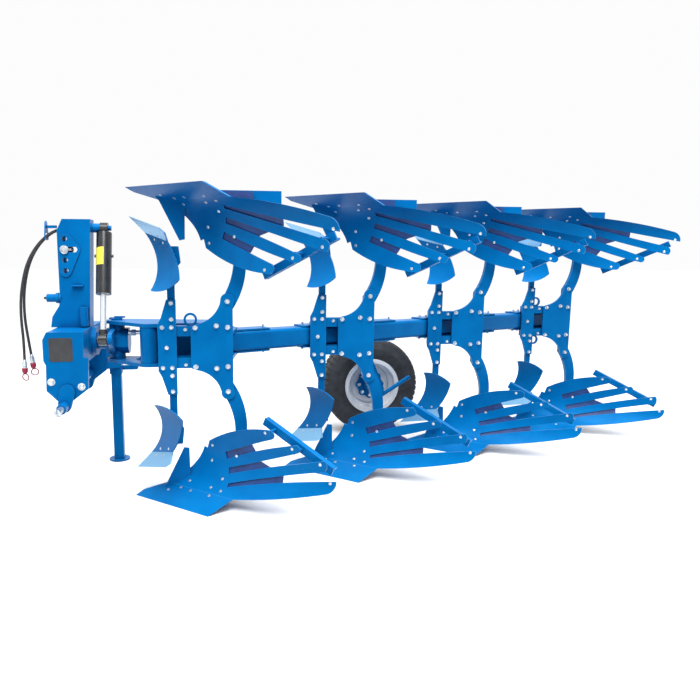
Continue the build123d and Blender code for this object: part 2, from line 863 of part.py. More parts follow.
def lower_link_shaft():
    """Cross shaft through the side plates, with crank arms that carry the link pins."""
    reach = box_half + side_thick
    arm = 26.0
    with BuildPart() as shaft:
        with BuildSketch(Plane((cross_shaft_x, reach + arm, axis_z - cross_shaft_drop), x_dir=(1, 0, 0), z_dir=(0, -1, 0))):
            Circle(cross_shaft_radius)
        extrude(amount=2 * (reach + arm))
        for side in (1, -1):
            start = side * (reach + 0.3)
            with BuildSketch(Plane((0, start, axis_z), x_dir=(1, 0, 0), z_dir=(0, -1, 0))):
                with Locations((cross_shaft_x, -cross_shaft_drop)):
                    Circle(42)
                with Locations((lower_pin_x, -lower_pin_drop)):
                    Circle(36)
                make_hull()
            extrude(amount=-side * (arm - 0.3))
            with BuildSketch(Plane((lower_pin_x, start, axis_z - lower_pin_drop), x_dir=(1, 0, 0), z_dir=(0, -1, 0))):
                Circle(28)
            extrude(amount=-side * (lower_pin_shoulder - reach))
            with BuildSketch(Plane((lower_pin_x, start, axis_z - lower_pin_drop), x_dir=(1, 0, 0), z_dir=(0, -1, 0))):
                Circle(lower_pin_radius)
            extrude(amount=-side * (lower_pin_shoulder + lower_pin_length - reach))
    save(shaft, "lower_link_shaft")


cyl_drop = Vector(0, crank_y, crank_z - (cyl_top_z - axis_z))
cyl_dir = cyl_drop.normalized()
cyl_length = cyl_drop.length


def cyl_plane(distance):
    """Plane square to the cylinder, a distance down from its upper eye."""
    top = Vector(cyl_x, 0, cyl_top_z)
    return Plane(top + cyl_dir * distance, x_dir=(1, 0, 0), z_dir=cyl_dir)


def eye_at(distance, depth):
    """Eye ring of the cylinder at a distance from its upper eye, as a sketch."""
    centre = Vector(cyl_x - eye_width / 2, 0, cyl_top_z) + cyl_dir * distance
    return Plane(centre, x_dir=(0, 1, 0), z_dir=(1, 0, 0))


def cylinder_barrel():
    """Barrel with its upper eye, its ports and an open gland for the rod."""
    with BuildPart() as barrel:
        with BuildSketch(cyl_plane(barrel_start)):
            Circle(barrel_radius)
        extrude(amount=barrel_end - barrel_start)
        with BuildSketch(eye_at(0, eye_width)):
            Circle(eye_radius - 3)
        extrude(amount=eye_width)
        with BuildSketch(cyl_plane(barrel_start + 26)):
            Circle(barrel_bore)
        extrude(amount=barrel_end - barrel_start - 46, mode=Mode.SUBTRACT)
        with BuildSketch(cyl_plane(barrel_end - 22)):
            Circle(rod_radius + shaft_gap)
        extrude(amount=24, mode=Mode.SUBTRACT)
        with BuildSketch(eye_at(0, eye_width)):
            Circle(eye_pin_radius + shaft_gap)
        extrude(amount=eye_width, mode=Mode.SUBTRACT)
        for side in (1, -1):
            port = cyl_plane(170).origin + Vector(side * (barrel_radius - 4), 0, 0)
            with BuildSketch(Plane(port, x_dir=(0, 1, 0), z_dir=(side, 0, 0))):
                Circle(9)
            extrude(amount=14)
    save(barrel, "cylinder_barrel")


def cylinder_rod():
    """Chromed rod with its piston inside the barrel."""
    with BuildPart() as rod:
        with BuildSketch(cyl_plane(barrel_end - 60)):
            Circle(rod_radius)
        extrude(amount=cyl_length - eye_radius - 20 - barrel_end + 60)
        with BuildSketch(cyl_plane(barrel_end - 64)):
            Circle(barrel_bore - shaft_gap)
        extrude(amount=34)
    save(rod, "cylinder_rod")


def rod_eye():
    """Eye at the rod's end, with the pin that reaches to the crank."""
    with BuildPart() as eye:
        with BuildSketch(cyl_plane(cyl_length - eye_radius - 20)):
            Circle(rod_radius + 7)
        extrude(amount=eye_radius)
        with BuildSketch(eye_at(cyl_length, eye_width)):
            Circle(eye_radius)
        extrude(amount=eye_width)
        centre = Vector(cyl_x - eye_width / 2 - 10, 0, cyl_top_z) + cyl_dir * cyl_length
        with BuildSketch(Plane(centre, x_dir=(0, 1, 0), z_dir=(1, 0, 0))):
            Circle(eye_pin_radius)
        extrude(amount=crank_front - pin_play - centre.X)
    save(eye, "rod_eye")


def stand_holder():
    """Channel on the right side plate that the stand leg slides in."""
    inner = stand_tube / 2 + stand_gap
    outer = inner + holder_wall
    plate_face = box_half + side_thick
    with BuildPart() as holder:
        with BuildSketch(Plane.XY.offset(axis_z + holder_bottom)):
            with Locations((stand_x, stand_y)):
                Rectangle(2 * outer, 2 * outer)
                Rectangle(2 * inner, 2 * inner, mode=Mode.SUBTRACT)
        extrude(amount=holder_top - holder_bottom)
        with BuildSketch(Plane.XY.offset(axis_z - 230)):
            with BuildLine():
                Polyline((100, plate_face), (150, plate_face), (stand_x + outer, stand_y - outer),
                         (stand_x - outer, stand_y - outer), close=True)
            make_face()
        extrude(amount=150)
        with BuildSketch(Plane((stand_x + outer, stand_y, axis_z - 238), x_dir=(1, 0, 0), z_dir=(0, -1, 0))):
            with Locations((50, 0)):
                SlotOverall(110, 30)
        extrude(amount=8, both=True)
        with BuildSketch(Plane((stand_x + outer, stand_y, axis_z - 238), x_dir=(0, 1, 0), z_dir=(1, 0, 0))):
            Circle(11)
        extrude(amount=16)
    save(holder, "stand_holder")


def stand_leg():
    """Square stand leg on a round foot."""
    with BuildPart() as leg:
        with BuildSketch(Plane.XY.offset(ground_z + foot_thick)):
            with Locations((stand_x, stand_y)):
                RectangleRounded(stand_tube, stand_tube, 6)
                RectangleRounded(stand_tube - 2 * stand_wall, stand_tube - 2 * stand_wall, 3, mode=Mode.SUBTRACT)
        extrude(amount=axis_z + stand_top - ground_z - foot_thick)
        with BuildSketch(Plane.XY.offset(ground_z)):
            with Locations((stand_x, stand_y)):
                Circle(foot_radius)
        extrude(amount=foot_thick)
    save(leg, "stand_leg")


wheel_z = ground_z + wheel_radius


def wheel_plane(y, x=wheel_x, z=None):
    """Plane square to the wheel's axle at a place across."""
    return Plane((x, y, wheel_z if z is None else z), x_dir=(1, 0, 0), z_dir=(0, -1, 0))


beam_at_pivot = beam_base.Y + (wheel_pivot_x - beam_base.X) * beam_slope
pivot_inner = beam_at_pivot + beam_across + pivot_tube_radius * beam_slope


def wheel_bracket():
    """Tube on the beam that carries the wheel arm's pivot, with a gusset to the beam."""
    with BuildPart() as bracket:
        with BuildSketch(wheel_plane(arm_y - 5, wheel_pivot_x, axis_z)):
            Circle(pivot_tube_radius)
        extrude(amount=arm_y - 5 - beam_at_pivot)
        with BuildSketch(Plane((wheel_pivot_x, 0, axis_z), x_dir=(1, 0, 0), z_dir=(0, 0, 1))):
            with BuildLine():
                Polyline((-70, beam_at_pivot), (130, beam_at_pivot), (pivot_tube_radius, pivot_inner + 120),
                         (-pivot_tube_radius, pivot_inner + 120), close=True)
            make_face()
        extrude(amount=9, both=True)
        with BuildSketch(Plane(beam_base, x_dir=(0, 0, 1), z_dir=beam_dir)) as core:
            RectangleRounded(beam_size, beam_size, beam_corner)
        extrude(core.sketch, amount=beam_length, mode=Mode.SUBTRACT)
        with BuildSketch(wheel_plane(arm_y, wheel_pivot_x, axis_z)):
            Circle(pivot_radius + shaft_gap)
        extrude(amount=arm_y - pivot_inner, mode=Mode.SUBTRACT)
        keep = bracket.part.solids().sort_by(Axis.Y)[-1]
    with BuildPart() as kept:
        add(keep)
    save(kept, "wheel_bracket")


def wheel_arm():
    """Swinging arm with its pivot shaft, the wheel spindle and the stop rod."""
    with BuildPart() as arm:
        with BuildSketch(wheel_plane(arm_y + arm_thick)):
            Circle(58)
            with Locations((wheel_pivot_x - wheel_x, axis_z - wheel_z)):
                Circle(62)
            make_hull()
        extrude(amount=arm_thick)
        with BuildSketch(wheel_plane(arm_y, wheel_pivot_x, axis_z)):
            Circle(pivot_radius)
        extrude(amount=arm_y - pivot_inner - 3)
        with BuildSketch(wheel_plane(wheel_y + 40)):
            Circle(spindle_radius)
        extrude(amount=wheel_y + 40 - arm_y - arm_thick)
        rod_start = Vector(wheel_x + 20, arm_y + arm_thick / 2, wheel_z - 60)
        rod_end = Vector(wheel_x + 262, arm_y + arm_thick / 2, wheel_z + 95)
        with BuildSketch(Plane(rod_start, z_dir=rod_end - rod_start)):
            Circle(15)
        extrude(amount=(rod_end - rod_start).length)
    save(arm, "wheel_arm")


def rim():
    """Pressed steel rim with flanges, a drop centre and a dished disc."""
    half = 127.0
    disc = -30.0
    with BuildPart() as wheel_rim:
        with BuildSketch(Plane((wheel_x, wheel_y, wheel_z), x_dir=(1, 0, 0), z_dir=(0, 0, 1))):
            with BuildLine():
                Polyline((rim_radius + 20, -half), (rim_radius + 20, -half + 10), (rim_radius, -half + 14),
                         (rim_radius - 4, -60), (rim_radius - 28, -44), (rim_radius - 28, 44), (rim_radius - 4, 60),
                         (rim_radius, half - 14), (rim_radius + 20, half - 10), (rim_radius + 20, half),
                         (rim_radius - 10, half), (rim_radius - 14, 66), (rim_radius - 38, 48),
                         (rim_radius - 38, disc + 24), (150, disc + 14), (125, disc + 8), (70, disc + 8), (70, disc),
                         (125, disc), (150, disc + 4), (rim_radius - 38, disc + 12), (rim_radius - 38, -48),
                         (rim_radius - 14, -66), (rim_radius - 10, -half), close=True)
            make_face()
        revolve(axis=Axis((wheel_x, wheel_y, wheel_z), (0, 1, 0)))
    save(wheel_rim, "rim")


def tyre():
    """Implement tyre with a flat tread band and round shoulders."""
    half = wheel_width / 2
    with BuildPart() as rubber:
        with BuildSketch(Plane((wheel_x, wheel_y, wheel_z), x_dir=(1, 0, 0), z_dir=(0, 0, 1))):
            with BuildLine():
                Line((rim_radius + 0.5, -108), (rim_radius + 26, -116))
                ThreePointArc((rim_radius + 26, -116), (rim_radius + 90, -half), (wheel_radius - 42, -half + 12))
                ThreePointArc((wheel_radius - 42, -half + 12), (wheel_radius - 14, -half + 24), (wheel_radius, -72))
                Line((wheel_radius, -72), (wheel_radius, 72))
                ThreePointArc((wheel_radius, 72), (wheel_radius - 14, half - 24), (wheel_radius - 42, half - 12))
                ThreePointArc((wheel_radius - 42, half - 12), (rim_radius + 90, half), (rim_radius + 26, 116))
                Line((rim_radius + 26, 116), (rim_radius + 0.5, 108))
                Line((rim_radius + 0.5, 108), (rim_radius + 0.5, -108))
            make_face()
        revolve(axis=Axis((wheel_x, wheel_y, wheel_z), (0, 1, 0)))
    save(rubber, "tyre")


def hub():
    """Hub with its bolt flange, running on the spindle."""
    with BuildPart() as wheel_hub:
        with BuildSketch(wheel_plane(wheel_y - 30)):
            Circle(hub_radius)
        extrude(amount=12)
        with BuildSketch(wheel_plane(wheel_y + 45)):
            Circle(52)
        extrude(amount=130)
        with BuildSketch(wheel_plane(wheel_y + 40.3)):
            Circle(spindle_radius + shaft_gap)
        extrude(amount=200, mode=Mode.SUBTRACT)
    save(wheel_hub, "hub")


def hose_bracket():
    """Arm in front of the mast that leads the hoses, with a guide plate at its end."""
    with BuildPart() as bracket:
        with BuildSketch(Plane.XY.offset(182)):
            with BuildLine():
                Polyline((-41.3, -55), (-41.3, -37), (-104, -12), (-104, -34), close=True)
            make_face()
        extrude(amount=16)
        with BuildSketch(Plane((-104, -19, 138), x_dir=(0, 1, 0), z_dir=(1, 0, 0))):
            with Locations((-15.5, 0), (15.5, 0)):
                Circle(24)
            with Locations((0, 64)):
                Circle(23)
            make_hull()
            SlotCenterToCenter(31, 34, mode=Mode.SUBTRACT)
        extrude(amount=-6)
    save(bracket, "hose_bracket")


# Hose routes: the points of each run's ends, from the port block in the mast to the couplers
near_hose = [(2, -19, 186), (-52, -27, 171), (-106, -34.5, 137), (-165, -40, 74), (-214, -44, -12),
             (-244, -46, -112), (-263, -48, -228), (-267, -48, -350), (-260, -46, -474), (-263, -44, -598)]
far_hose = [(2, 12, 186), (-50, 5, 174), (-102, -3, 143), (-158, -10, 84), (-205, -16, 0),
            (-234, -20, -98), (-252, -22, -212), (-254, -22, -335), (-243, -20, -455), (-229, -18, -572)]
routes = [("near_hose", near_hose), ("far_hose", far_hose)]


def corner_radii(points):
    """Radius at each inner point: 0.45 of the shorter run over the tangent of half the turn."""
    radii = []
    for before, here, after in zip(points, points[1:], points[2:]):
        first = Vector(*here) - Vector(*before)
        second = Vector(*after) - Vector(*here)
        turn = radians(first.get_angle(second))
        radii.append(0.45 * min(first.length, second.length) / tan(turn / 2))
    return radii


def hose(name, points):
    """Round hose along straight runs joined by tangent arcs."""
    radii = corner_radii(points)
    with BuildPart() as tube:
        with BuildLine():
            path = FilletPolyline(*points, radius=radii)
        with BuildSketch(Plane(points[0], z_dir=path % 0)):
            Circle(hose_radius)
        sweep()
    expected = pi * hose_radius**2 * path.length
    print(name, "length", round(path.length), "radii", [round(r) for r in radii],
          "volume ratio", round(tube.part.volume / expected, 4))
    save(tube, name)


def port_block():
    """Block between the mast's walls with the two fittings that the hoses leave from."""
    width = 2 * (tower_half - tower_wall) - 0.6
    with BuildPart() as block:
        with BuildSketch(Plane((28, 0, 184), x_dir=(0, 1, 0), z_dir=(1, 0, 0))):
            Rectangle(width, 40)
        extrude(amount=40)
        for _, points in routes:
            start = Vector(*points[0])
            heading = (Vector(*points[1]) - start).normalized()
            with BuildSketch(Plane(start, z_dir=heading * -1)):
                Circle(hose_radius + 3)
            extrude(amount=34)
    save(block, "port_block")


def coupler(name, points):
    """Quick coupler at a hose's free end."""
    end = Vector(*points[-1])
    heading = (end - Vector(*points[-2])).normalized()
    with BuildPart() as plug:
        with BuildSketch(Plane(end, z_dir=heading)):
            Circle(coupler_radius)
        extrude(amount=coupler_length)
        with BuildSketch(Plane(end + heading * coupler_length, z_dir=heading)):
            Circle(coupler_radius - 4)
        extrude(amount=18)
    save(plug, name)


for number in range(bodies):
    body_plate(number)
    shanks(number)
    frogs(number)
    face = moldboards(number)
    shares(number, face)
landsides()
tie_bars()
skimmer_plates()
skimmer_shanks()
skimmer_blades()
skimmer_shares()
beam()
body_consoles()
lifting_rings()
front_frame()
turnover_housing()
yoke_pins()
turnbuckle()
mast_wall(-1, "mast_left")
mast_wall(1, "mast_right")
mast_back()
top_link_pin()
cross_box()
side_plate(-1, "side_plate_left")
side_plate(1, "side_plate_right")
lower_link_shaft()
cylinder_barrel()
cylinder_rod()
rod_eye()
stand_holder()
stand_leg()
wheel_bracket()
wheel_arm()
rim()
tyre()
hub()
hose_bracket()
port_block()
for route_name, route in routes:
    hose(route_name, route)
    coupler(route_name.replace("hose", "coupler"), route)
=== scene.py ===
"""Looks of the mounted reversible plough: paint, steel, rubber, bolts, tread and small trim."""

import json
from math import atan2, cos, pi, radians, sin, sqrt, tan

import bmesh
import bpy
import numpy as np
from mathutils import Euler, Matrix, Vector


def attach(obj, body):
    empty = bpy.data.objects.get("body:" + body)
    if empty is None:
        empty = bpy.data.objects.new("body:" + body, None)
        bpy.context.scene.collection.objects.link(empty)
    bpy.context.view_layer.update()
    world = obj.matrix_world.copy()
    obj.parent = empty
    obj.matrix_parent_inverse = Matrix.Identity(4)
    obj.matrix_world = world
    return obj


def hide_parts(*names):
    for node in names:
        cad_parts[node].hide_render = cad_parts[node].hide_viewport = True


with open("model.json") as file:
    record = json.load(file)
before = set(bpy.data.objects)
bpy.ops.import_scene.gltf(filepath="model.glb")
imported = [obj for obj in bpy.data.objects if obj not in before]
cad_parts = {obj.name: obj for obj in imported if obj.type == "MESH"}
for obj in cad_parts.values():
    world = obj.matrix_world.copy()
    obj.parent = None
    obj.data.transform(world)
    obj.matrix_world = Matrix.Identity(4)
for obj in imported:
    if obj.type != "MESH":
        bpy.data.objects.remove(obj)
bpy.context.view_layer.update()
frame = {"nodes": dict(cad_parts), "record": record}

# Camera at the photograph's place: on the plough's left, 0.5 m above the turnover axis, with a
# lens of 32 mm, turned a little to the rear and a quarter of a degree askew.
camera_data = bpy.data.cameras.new("camera")
camera_data.lens = 32.16
camera_data.sensor_width = 36.0
camera_data.shift_x = 0.0707
camera_data.clip_end = 200.0
camera = bpy.data.objects.new("camera", camera_data)
camera.location = (0.867, -3.870, 0.031)
level = Euler((radians(90 - 8.56), 0.0, radians(-7.65))).to_matrix()
camera.rotation_euler = (level @ Matrix.Rotation(radians(0.28), 3, "Z")).to_euler()
bpy.context.scene.collection.objects.link(camera)
bpy.context.scene.camera = camera
bpy.context.scene.view_settings.view_transform = "Standard"

# Hoses: two hydraulic hoses of 16 mm, dull black rubber over a textile braid, whose weave is drawn
# 1.4 mm across, coarser than real, so that it shows. They leave the port block in the mast's top,
# lie in the holder's guide and hang in front of it. Points are in millimetres.
near_points = [(2, -19, 186), (-52, -27, 171), (-106, -34.5, 137), (-165, -40, 74), (-214, -44, -12),
               (-244, -46, -112), (-263, -48, -228), (-267, -48, -350), (-260, -46, -474),
               (-263, -44, -598)]
far_points = [(2, 12, 186), (-50, 5, 174), (-102, -3, 143), (-158, -10, 84), (-205, -16, 0),
              (-234, -20, -98), (-252, -22, -212), (-254, -22, -335), (-243, -20, -455),
              (-229, -18, -572)]
hose_radius = 0.008


def linear(code):
    """Linear colour from an sRGB hex code: c / 12.92 up to 0.04045, else ((c + 0.055) / 1.055) ** 2.4."""
    parts = [int(code[i:i + 2], 16) / 255 for i in (1, 3, 5)]
    return [c / 12.92 if c <= 0.04045 else ((c + 0.055) / 1.055) ** 2.4 for c in parts] + [1.0]


def add_node(tree, kind, place, links=(), stops=(), **values):
    """Adds one shader node: its settings, its links as (input, from socket), and a ramp's two colours."""
    node = tree.nodes.new(kind)
    node.location = place
    for key, value in values.items():
        if hasattr(node, key):
            setattr(node, key, value)
        else:
            node.inputs[key.replace("_", " ").title()].default_value = value
    for name, socket in links:
        tree.links.new(socket, node.inputs[name])
    for number, code in enumerate(stops):
        node.color_ramp.elements[number].position = (0.3, 0.7)[number]
        node.color_ramp.elements[number].color = linear(code)
    return node


def new_material(name, rough, metal=0.0, coat=0.0):
    """Principled material with its tree, its shader and its object coordinates."""
    material = bpy.data.materials.new(name)
    material.use_nodes = True
    tree = material.node_tree
    shader = tree.nodes["Principled BSDF"]
    shader.inputs["Roughness"].default_value = rough
    shader.inputs["Metallic"].default_value = metal
    shader.inputs["Coat Weight"].default_value = coat
    shader.inputs["Coat Roughness"].default_value = 0.2
    return material, tree, shader, add_node(tree, "ShaderNodeTexCoord", (-1200, 0)).outputs["Object"]


hose_rubber, tree, shader, coords = new_material("hose_rubber", 0.5)
grain = add_node(tree, "ShaderNodeTexNoise", (-900, 200), [("Vector", coords)],
                 Scale=1 / 0.0014, Detail=3.0)
tone = add_node(tree, "ShaderNodeValToRGB", (-650, 200), [("Fac", grain.outputs["Fac"])],
                stops=("#161618", "#2D2D30"))
tree.links.new(tone.outputs["Color"], shader.inputs["Base Color"])
weave = add_node(tree, "ShaderNodeBump", (-300, -400), [("Height", grain.outputs["Fac"])],
                 Strength=0.3, Distance=0.0005)
tree.links.new(weave.outputs["Normal"], shader.inputs["Normal"])
for hose_name, coupler_name, points, length in [
    ("near_hose", "near_coupler", near_points, 0.897),
    ("far_hose", "far_coupler", far_points, 0.870),
]:
    line = bpy.data.curves.new(hose_name + "_line", "CURVE")
    line.dimensions = "3D"
    spline = line.splines.new("NURBS")
    spline.points.add(len(points) - 1)
    weighted = np.insert(np.array(points) / 1000, 3, 1.0, axis=1)
    spline.points.foreach_set("co", weighted.ravel())
    spline.order_u = 3
    spline.use_endpoint_u = True
    spline.resolution_u = 12
    line.bevel_depth = hose_radius
    line.bevel_resolution = 6
    line.use_fill_caps = True
    line.materials.append(hose_rubber)
    hose = bpy.data.objects.new(hose_name + "_tube", line)
    bpy.context.scene.collection.objects.link(hose)
    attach(hose, "headstock")
    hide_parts(hose_name)

# Studio: a pale painted floor under a surround that is bright overhead and dim low down. To the
# camera, and in gloss and glass, both are plain white, by the kind of ray.
ground_z = -1.356
reach = 60.0


def shown_or_lit(tree, shown):
    """Mix by the kind of ray: one colour to camera, gloss and glass, and input 6 to all the rest."""
    rays = add_node(tree, "ShaderNodeLightPath", (-900, 400))
    either = add_node(tree, "ShaderNodeMath", (-700, 400), operation="MAXIMUM")
    tree.links.new(rays.outputs["Is Camera Ray"], either.inputs[0])
    tree.links.new(rays.outputs["Is Glossy Ray"], either.inputs[1])
    any_of = add_node(tree, "ShaderNodeMath", (-500, 400), operation="MAXIMUM")
    tree.links.new(either.outputs["Value"], any_of.inputs[0])
    tree.links.new(rays.outputs["Is Transmission Ray"], any_of.inputs[1])
    mix = add_node(tree, "ShaderNodeMix", (-300, 300), data_type="RGBA")
    tree.links.new(any_of.outputs["Value"], mix.inputs[0])
    mix.inputs[7].default_value = shown
    return mix


floor_mesh = bpy.data.meshes.new("floor")
floor_mesh.from_pydata([(-reach, -reach, ground_z), (reach, -reach, ground_z), (reach, reach, ground_z),
                        (-reach, reach, ground_z)], [], [(0, 1, 2, 3)])
floor = bpy.data.objects.new("floor", floor_mesh)
bpy.context.scene.collection.objects.link(floor)
floor_paint, tree, shader, coords = new_material("floor_paint", 0.8)
by_ray = shown_or_lit(tree, linear("#F8F9FA"))
by_ray.inputs[6].default_value = linear("#8E9499")
tree.links.new(by_ray.outputs[2], shader.inputs["Base Color"])
floor_mesh.materials.append(floor_paint)
world = bpy.data.worlds.new("surround")
world.use_nodes = True
tree = world.node_tree
heading = add_node(tree, "ShaderNodeTexCoord", (-1100, 0))
height = add_node(tree, "ShaderNodeSeparateXYZ", (-900, 0), [("Vector", heading.outputs["Generated"])])
sky = add_node(tree, "ShaderNodeValToRGB", (-700, 0), [("Fac", height.outputs["Z"])])
sky.color_ramp.elements[0].position = 0.0
sky.color_ramp.elements[0].color = (0.13, 0.15, 0.19, 1.0)
sky.color_ramp.elements[1].position = 0.75
sky.color_ramp.elements[1].color = (1.35, 1.35, 1.35, 1.0)
by_ray = shown_or_lit(tree, (0.98, 0.98, 0.98, 1.0))
tree.links.new(sky.outputs["Color"], by_ray.inputs[6])
tree.links.new(by_ray.outputs[2], tree.nodes["Background"].inputs["Color"])
bpy.context.scene.world = world
for lamp_name, place, aim, size, power in [
    ("key_lamp", (0.5, -4.5, 5.0), (1.8, 0.0, -0.6), 3.0, 330.0),
    ("top_lamp", (2.0, -0.8, 5.0), (2.2, -0.2, -0.6), 4.0, 420.0),
]:
    lamp_data = bpy.data.lights.new(lamp_name, "AREA")
    lamp_data.size = size
    lamp_data.energy = power
    lamp = bpy.data.objects.new(lamp_name, lamp_data)
    lamp.location = place
    lamp.rotation_euler = (Vector(aim) - Vector(place)).to_track_quat("-Z", "Y").to_euler()
    bpy.context.scene.collection.objects.link(lamp)

# Steelwork: beam, plates, boards, shares, headstock and stand, welded or bolted steel in sprayed
# blue gloss enamel. Its orange peel is 2 mm across and softens the gloss, and its tones drift over
# 160 mm. Edges are painted paler over 3 mm as a painted highlight, and recesses up to 80 mm wide
# are darkened as painted shade.
blue_paint, tree, shader, coords = new_material("blue_paint", 0.34)
shader.inputs["Specular Tint"].default_value = linear("#4DA6E8")
shader.inputs["Specular IOR Level"].default_value = 0.4
patches = add_node(tree, "ShaderNodeTexNoise", (-900, 200), [("Vector", coords)],
                   Scale=1 / 0.160, Detail=3.0)
tone = add_node(tree, "ShaderNodeValToRGB", (-650, 200), [("Fac", patches.outputs["Fac"])],
                stops=("#0062A3", "#006FB2"))
edge = add_node(tree, "ShaderNodeBevel", (-900, -100), Radius=0.003)
edge.samples = 4
flat = add_node(tree, "ShaderNodeNewGeometry", (-1100, -250))
match = add_node(tree, "ShaderNodeVectorMath", (-700, -100), operation="DOT_PRODUCT")
tree.links.new(edge.outputs["Normal"], match.inputs[0])
tree.links.new(flat.outputs["Normal"], match.inputs[1])
# Painted highlight: within 3 mm of an edge the colour is made paler, towards #4FA0D8, for the gloss that
# edges and slat tips catch.
painted_edge_highlight = add_node(tree, "ShaderNodeMapRange", (-500, -100), [("Value", match.outputs["Value"])])
painted_edge_highlight.inputs["From Min"].default_value = 1.0
painted_edge_highlight.inputs["From Max"].default_value = 0.8
painted_edge_highlight.inputs["To Max"].default_value = 0.4
edges_highlighted = add_node(tree, "ShaderNodeMix", (-350, 150), data_type="RGBA")
tree.links.new(painted_edge_highlight.outputs["Result"], edges_highlighted.inputs[0])
tree.links.new(tone.outputs["Color"], edges_highlighted.inputs[6])
edges_highlighted.inputs[7].default_value = linear("#4FA0D8")
# Painted shade: where ambient occlusion finds a recess within 80 mm, the colour is darkened towards
# #0A2F66.
recess = add_node(tree, "ShaderNodeAmbientOcclusion", (-500, 500), samples=6)
recess.inputs["Distance"].default_value = 0.08
depth = add_node(tree, "ShaderNodeMapRange", (-300, 500), [("Value", recess.outputs["AO"])])
depth.inputs["From Min"].default_value = 0.25
depth.inputs["From Max"].default_value = 0.75
recesses_shaded = add_node(tree, "ShaderNodeMix", (-100, 250), data_type="RGBA")
tree.links.new(depth.outputs["Result"], recesses_shaded.inputs[0])
recesses_shaded.inputs[6].default_value = linear("#0A2F66")
tree.links.new(edges_highlighted.outputs[2], recesses_shaded.inputs[7])
tree.links.new(recesses_shaded.outputs[2], shader.inputs["Base Color"])
peel = add_node(tree, "ShaderNodeTexNoise", (-700, -400), [("Vector", coords)],
                Scale=1 / 0.002, Detail=2.0)
ripple = add_node(tree, "ShaderNodeBump", (-300, -400), [("Height", peel.outputs["Fac"])],
                  Strength=0.12, Distance=0.0004)
tree.links.new(ripple.outputs["Normal"], shader.inputs["Normal"])


def cover(material, *names):
    """Puts one material on all the slots of CAD nodes, by their names."""
    for name in names:
        for slot in frame["nodes"][name].material_slots:
            slot.material = material


blue_nodes = [s["node"] for s in frame["record"]["subparts"] if s["material_slot"] == "blue_paint"]
cover(blue_paint, *blue_nodes, "yoke_pins")

# Frogs: steel carriers behind the boards that the shanks hold, in the same enamel, drawn dull and
# painted dark blue as painted shade, for the shade behind the boards, with blotches 60 mm across.
painted_shade_blue, tree, shader, coords = new_material("painted_shade_blue", 0.5)
patches = add_node(tree, "ShaderNodeTexNoise", (-900, 200), [("Vector", coords)],
                   Scale=1 / 0.060, Detail=4.0)
tone = add_node(tree, "ShaderNodeValToRGB", (-650, 200), [("Fac", patches.outputs["Fac"])],
                stops=("#0C2C66", "#124284"))
tree.links.new(tone.outputs["Color"], shader.inputs["Base Color"])
cover(painted_shade_blue, "frogs_1", "frogs_2", "frogs_3", "frogs_4")

# Skimmer shares: hardened steel under a thin blue coat, bolted to the skimmer blades, with a
# half-metallic sheen. Their pale blue colour is a painted reflection of the bright surround, streaked
# along the edge by grinding marks drawn 1 mm wide, coarser than real, so that they show.
pale_reflection_blue, tree, shader, coords = new_material("pale_reflection_blue", 0.35, metal=0.6)
stretch = add_node(tree, "ShaderNodeMapping", (-1050, 0), [("Vector", coords)], Scale=(0.35, 0.35, 1.0))
patches = add_node(tree, "ShaderNodeTexNoise", (-900, 200), [("Vector", stretch.outputs["Vector"])],
                   Scale=1 / 0.0011, Detail=3.0)
tone = add_node(tree, "ShaderNodeValToRGB", (-650, 200), [("Fac", patches.outputs["Fac"])],
                stops=("#6FAFDD", "#93C6EA"))
tree.links.new(tone.outputs["Color"], shader.inputs["Base Color"])
cover(pale_reflection_blue, "skimmer_shares")

# Turnover cylinder: barrel and rod eye in black enamel, glossy under a dusty drift 40 mm across,
# and a bright steel rod in hard chrome, ground round and round. Its marks are drawn 0.7 mm apart,
# coarser than real, so that they show.
black_paint, tree, shader, coords = new_material("black_paint", 0.28, coat=0.3)
patches = add_node(tree, "ShaderNodeTexNoise", (-900, 200), [("Vector", coords)],
                   Scale=1 / 0.040, Detail=4.0)
tone = add_node(tree, "ShaderNodeValToRGB", (-650, 200), [("Fac", patches.outputs["Fac"])],
                stops=("#0D0E10", "#24262B"))
tree.links.new(tone.outputs["Color"], shader.inputs["Base Color"])
cover(black_paint, "cylinder_barrel", "rod_eye")
rod_chrome, tree, shader, coords = new_material("rod_chrome", 0.16, metal=0.85)
rings = add_node(tree, "ShaderNodeMapping", (-1050, 0), [("Vector", coords)], Scale=(0.013, 0.013, 1.0))
patches = add_node(tree, "ShaderNodeTexNoise", (-900, 200), [("Vector", rings.outputs["Vector"])],
                   Scale=1 / 0.0007, Detail=3.0)
tone = add_node(tree, "ShaderNodeValToRGB", (-650, 200), [("Fac", patches.outputs["Fac"])],
                stops=("#DDE1E5", "#FBFCFD"))
tree.links.new(tone.outputs["Color"], shader.inputs["Base Color"])
cover(rod_chrome, "cylinder_rod")

# Fittings: pins, turnbuckle, port block and couplers, turned or forged steel in bright zinc plate.
# It looks silvery and a little cloudy, over patches of 20 mm.
zinc_steel, tree, shader, coords = new_material("zinc_steel", 0.30, metal=0.75)
patches = add_node(tree, "ShaderNodeTexNoise", (-900, 200), [("Vector", coords)],
                   Scale=1 / 0.020, Detail=3.0)
tone = add_node(tree, "ShaderNodeValToRGB", (-650, 200), [("Fac", patches.outputs["Fac"])],
                stops=("#9DA8B3", "#DCE3E8"))
tree.links.new(tone.outputs["Color"], shader.inputs["Base Color"])
cover(zinc_steel, "turnbuckle", "top_link_pin", "port_block", "near_coupler", "far_coupler")


